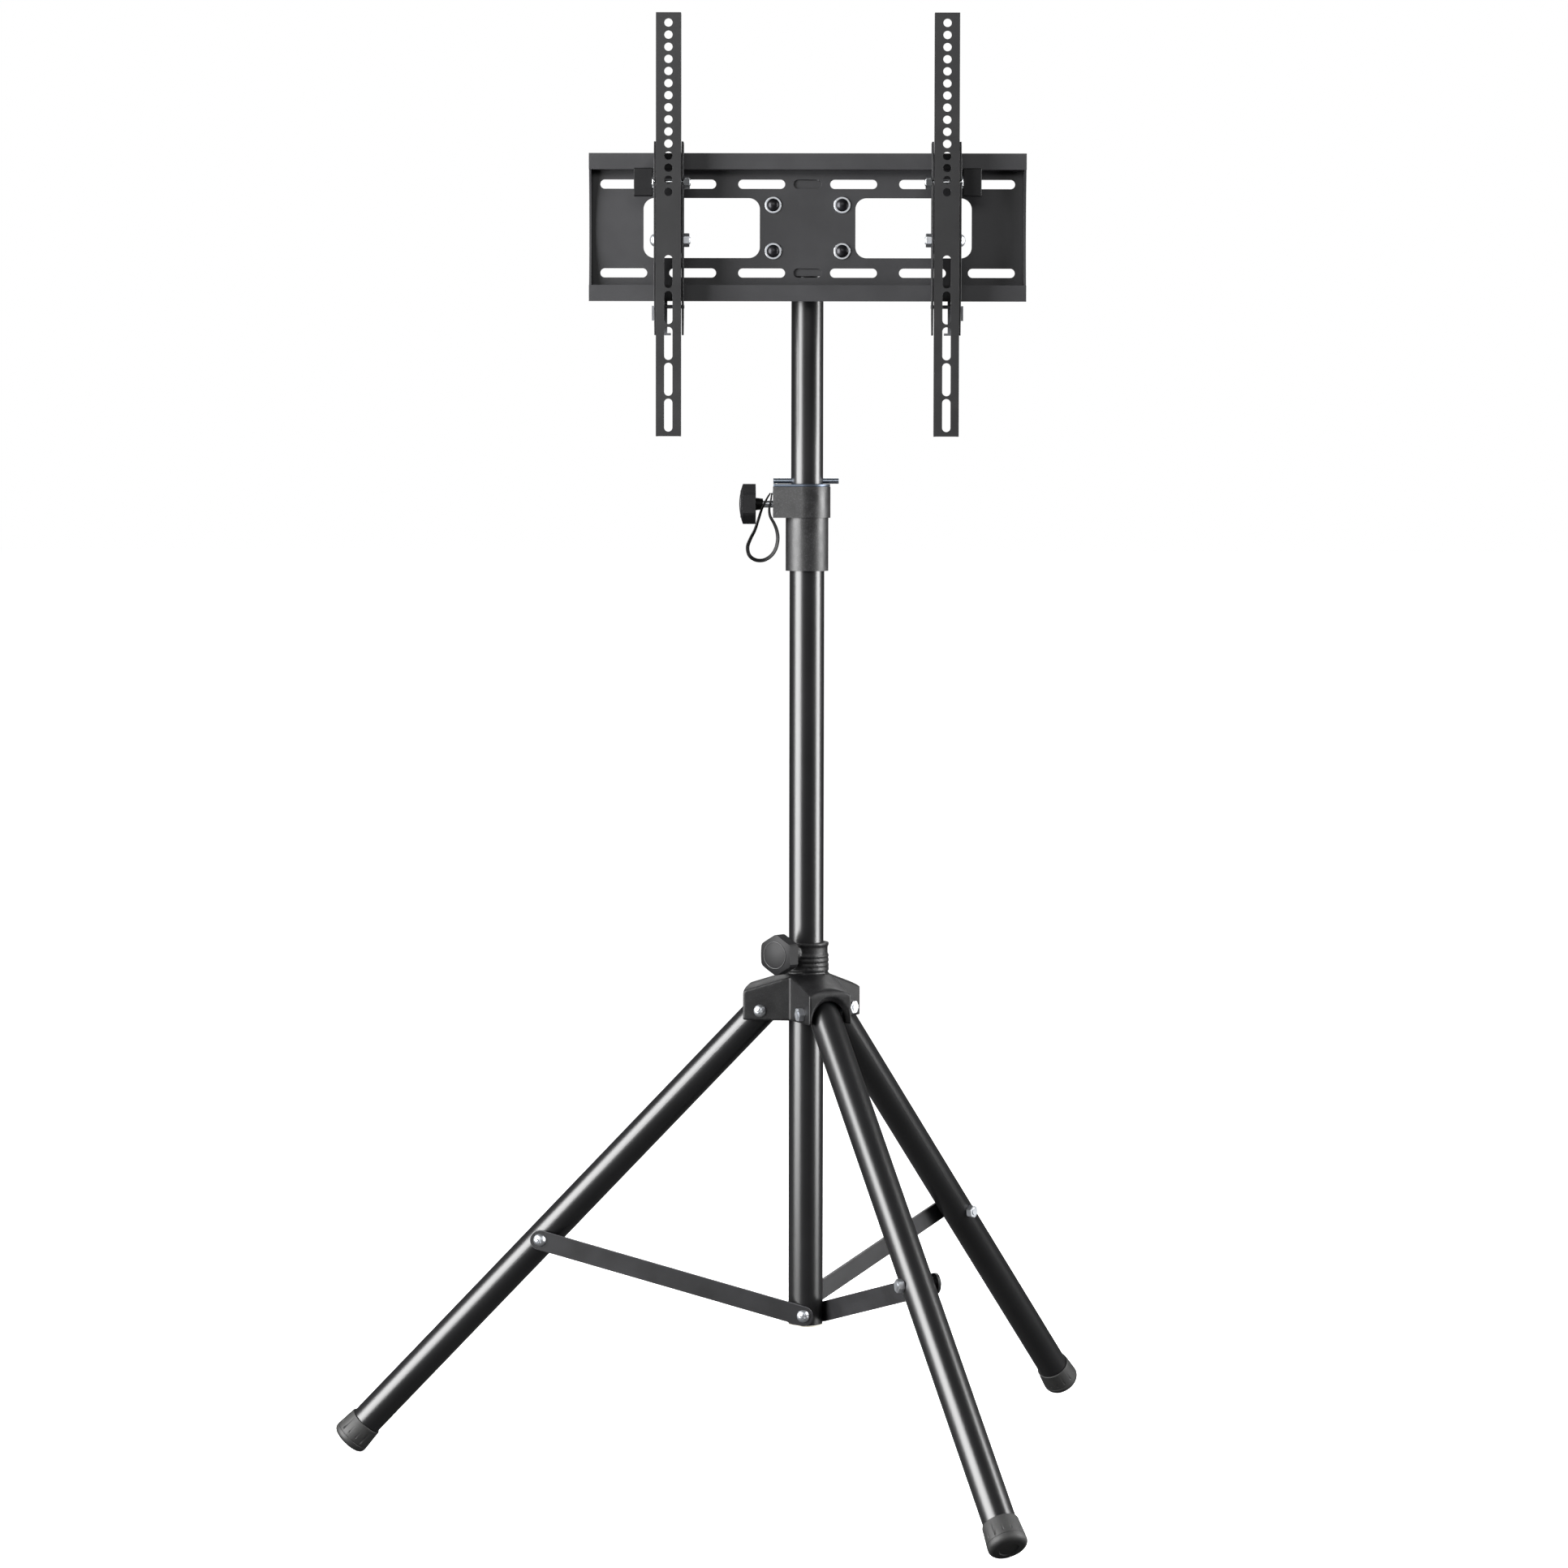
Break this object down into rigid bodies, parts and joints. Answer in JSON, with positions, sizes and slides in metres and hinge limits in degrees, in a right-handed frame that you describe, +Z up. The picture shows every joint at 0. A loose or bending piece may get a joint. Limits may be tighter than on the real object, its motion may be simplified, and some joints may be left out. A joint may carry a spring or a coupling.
{
  "type": "tripod screen stand",
  "caption": "Portable floor stand: folding three-legged base, telescoping pole with locking pin, and a slotted plate with two tilting arms that carry a flat screen.",
  "frame": {"origin": "on the floor under the pole's axis", "axes": "+Z up along the pole, -Y towards the screen side, +X to the right seen from the front"},
  "size_m": [0.8487, 0.916, 1.5886],
  "materials": {
    "steel_tube": "semi-gloss black paint",
    "plate_steel": "satin dark grey powder coat",
    "bar_steel": "satin black powder coat",
    "grained_plastic": "grained black nylon",
    "knob_plastic": "matt black",
    "white_plastic": "natural acetal",
    "foot_rubber": "matt black rubber",
    "strap_plastic": "black webbing",
    "plated_steel": "bright zinc plating",
    "blued_steel": "blued",
    "brass_insert": "plain brass"
  },
  "bodies": {
    "mast": {"lower_pole": "steel_tube", "pole_end_plug": "grained_plastic", "pole_collar": "grained_plastic", "collar_wear_plate": "blued_steel", "collar_bush": "white_plastic", "collar_insert": "brass_insert", "tether_strap": "strap_plastic", "tether_rivet": "plated_steel"},
    "collar_knob": {"collar_knob_head": "knob_plastic", "collar_knob_screw": "plated_steel"},
    "glide": {"pole_glide": "white_plastic"},
    "upper_mast": {"upper_pole": "steel_tube", "pole_top_cap": "grained_plastic", "pole_adapter": "bar_steel", "wall_plate": "plate_steel", "pole_screws": "knob_plastic", "pole_washers": "plated_steel", "pole_nuts": "plated_steel"},
    "pin": {"locking_pin": "plated_steel"},
    "hub_slider": {"hub": "grained_plastic", "hub_insert": "brass_insert", "hub_bolts": "plated_steel", "hub_nuts": "plated_steel"},
    "hub_knob": {"hub_knob_head": "knob_plastic", "hub_knob_screw": "plated_steel"},
    "leg_1": {"leg_tube_1": "steel_tube", "leg_foot_1": "foot_rubber", "brace_bolt_1": "plated_steel", "brace_nut_1": "plated_steel"},
    "brace_1": {"brace_bar_1": "bar_steel", "brace_end_bolt_1": "plated_steel"},
    "leg_2": {"leg_tube_2": "steel_tube", "leg_foot_2": "foot_rubber", "brace_bolt_2": "plated_steel", "brace_nut_2": "plated_steel"},
    "brace_2": {"brace_bar_2": "bar_steel", "brace_end_bolt_2": "plated_steel"},
    "leg_3": {"leg_tube_3": "steel_tube", "leg_foot_3": "foot_rubber", "brace_bolt_3": "plated_steel", "brace_nut_3": "plated_steel"},
    "brace_3": {"brace_bar_3": "bar_steel", "brace_end_bolt_3": "plated_steel"},
    "carriage_left": {"hook_bracket_left": "bar_steel", "tilt_pivot_bolt_left": "plated_steel", "tilt_pivot_nut_left": "plated_steel"},
    "screen_arm_left": {"arm_left": "plate_steel", "tilt_nut_left": "plated_steel"},
    "tilt_clamp_left": {"tilt_knob_left": "knob_plastic", "tilt_screw_left": "plated_steel"},
    "hook_latch_left": {"latch_left": "plate_steel"},
    "carriage_right": {"hook_bracket_right": "bar_steel", "tilt_pivot_bolt_right": "plated_steel", "tilt_pivot_nut_right": "plated_steel"},
    "screen_arm_right": {"arm_right": "plate_steel", "tilt_nut_right": "plated_steel"},
    "tilt_clamp_right": {"tilt_knob_right": "knob_plastic", "tilt_screw_right": "plated_steel"},
    "hook_latch_right": {"latch_right": "plate_steel"}
  },
  "joints": [
    {"name": "collar_knob_turn", "type": "hinge", "parent": "mast", "child": "collar_knob", "pos_m": [-0.0483, 0, 1.06024], "axis": [-1, 0, 0], "continuous": true},
    {"name": "height_slide", "type": "slide", "parent": "mast", "child": "glide", "axis": [0, 0, 1], "range_m": [0, 0.4]},
    {"name": "mast_swivel", "type": "hinge", "parent": "glide", "child": "upper_mast", "pos_m": [0, 0, 0.55024], "axis": [0, 0, 1], "continuous": true},
    {"name": "pin_pull", "type": "slide", "parent": "upper_mast", "child": "pin", "axis": [-1, 0, 0], "range_m": [0, 0.06]},
    {"name": "hub_slide", "type": "slide", "parent": "mast", "child": "hub_slider", "axis": [0, 0, 1], "range_m": [0, 0.3199]},
    {"name": "hub_knob_turn", "type": "hinge", "parent": "hub_slider", "child": "hub_knob", "pos_m": [0, 0, 0.5685], "axis": [-0.5948, -0.8039, 0], "continuous": true},
    {"name": "leg_fold_1", "type": "hinge", "parent": "hub_slider", "child": "leg_1", "pos_m": [-0.04769, 0.00543, 0.5045], "axis": [-0.1132, -0.9936, 0], "range_deg": [0, 43.51]},
    {"name": "brace_fold_1", "type": "hinge", "parent": "leg_1", "child": "brace_1", "pos_m": [-0.29185, 0.03325, 0.24554], "axis": [-0.1132, -0.9936, 0], "range_deg": [-109.5, 0]},
    {"name": "leg_fold_2", "type": "hinge", "parent": "hub_slider", "child": "leg_2", "pos_m": [0.01914, -0.04402, 0.5045], "axis": [0.9171, 0.3987, 0], "range_deg": [0, 43.51]},
    {"name": "brace_fold_2", "type": "hinge", "parent": "leg_2", "child": "brace_2", "pos_m": [0.11713, -0.26938, 0.24554], "axis": [0.9171, 0.3987, 0], "range_deg": [-109.5, 0]},
    {"name": "leg_fold_3", "type": "hinge", "parent": "hub_slider", "child": "leg_3", "pos_m": [0.02855, 0.03859, 0.5045], "axis": [-0.8039, 0.5948, 0], "range_deg": [0, 43.51]},
    {"name": "brace_fold_3", "type": "hinge", "parent": "leg_3", "child": "brace_3", "pos_m": [0.17472, 0.23613, 0.24554], "axis": [-0.8039, 0.5948, 0], "range_deg": [-109.5, 0]},
    {"name": "arm_spacing_left", "type": "slide", "parent": "upper_mast", "child": "carriage_left", "axis": [-1, 0, 0], "range_m": [-0.075, 0.05]},
    {"name": "arm_tilt_left", "type": "hinge", "parent": "carriage_left", "child": "screen_arm_left", "pos_m": [-0.15, -0.06, 1.34524], "axis": [1, 0, 0], "range_deg": [-5, 12]},
    {"name": "tilt_knob_turn_left", "type": "hinge", "parent": "screen_arm_left", "child": "tilt_clamp_left", "pos_m": [-0.1659, -0.055, 1.40794], "axis": [-1, 0, 0], "continuous": true},
    {"name": "latch_swing_left", "type": "hinge", "parent": "carriage_left", "child": "hook_latch_left", "pos_m": [-0.15, -0.041, 1.27424], "axis": [-1, 0, 0], "range_deg": [0, 12], "stiffness_Nm_per_rad": 0.06, "springref_deg": -5.73},
    {"name": "arm_spacing_right", "type": "slide", "parent": "upper_mast", "child": "carriage_right", "axis": [1, 0, 0], "range_m": [-0.075, 0.05]},
    {"name": "arm_tilt_right", "type": "hinge", "parent": "carriage_right", "child": "screen_arm_right", "pos_m": [0.15, -0.06, 1.34524], "axis": [1, 0, 0], "range_deg": [-5, 12]},
    {"name": "tilt_knob_turn_right", "type": "hinge", "parent": "screen_arm_right", "child": "tilt_clamp_right", "pos_m": [0.1659, -0.055, 1.40794], "axis": [1, 0, 0], "continuous": true},
    {"name": "latch_swing_right", "type": "hinge", "parent": "carriage_right", "child": "hook_latch_right", "pos_m": [0.15, -0.041, 1.27424], "axis": [-1, 0, 0], "range_deg": [0, 12], "stiffness_Nm_per_rad": 0.06, "springref_deg": -5.73}
  ],
  "couplings": [
    {"joint": "leg_fold_1", "follows": "hub_slide", "rad_per_m": 2.3733},
    {"joint": "brace_fold_1", "follows": "hub_slide", "rad_per_m": -5.9736},
    {"joint": "leg_fold_2", "follows": "hub_slide", "rad_per_m": 2.3733},
    {"joint": "brace_fold_2", "follows": "hub_slide", "rad_per_m": -5.9736},
    {"joint": "leg_fold_3", "follows": "hub_slide", "rad_per_m": 2.3733},
    {"joint": "brace_fold_3", "follows": "hub_slide", "rad_per_m": -5.9736}
  ]
}
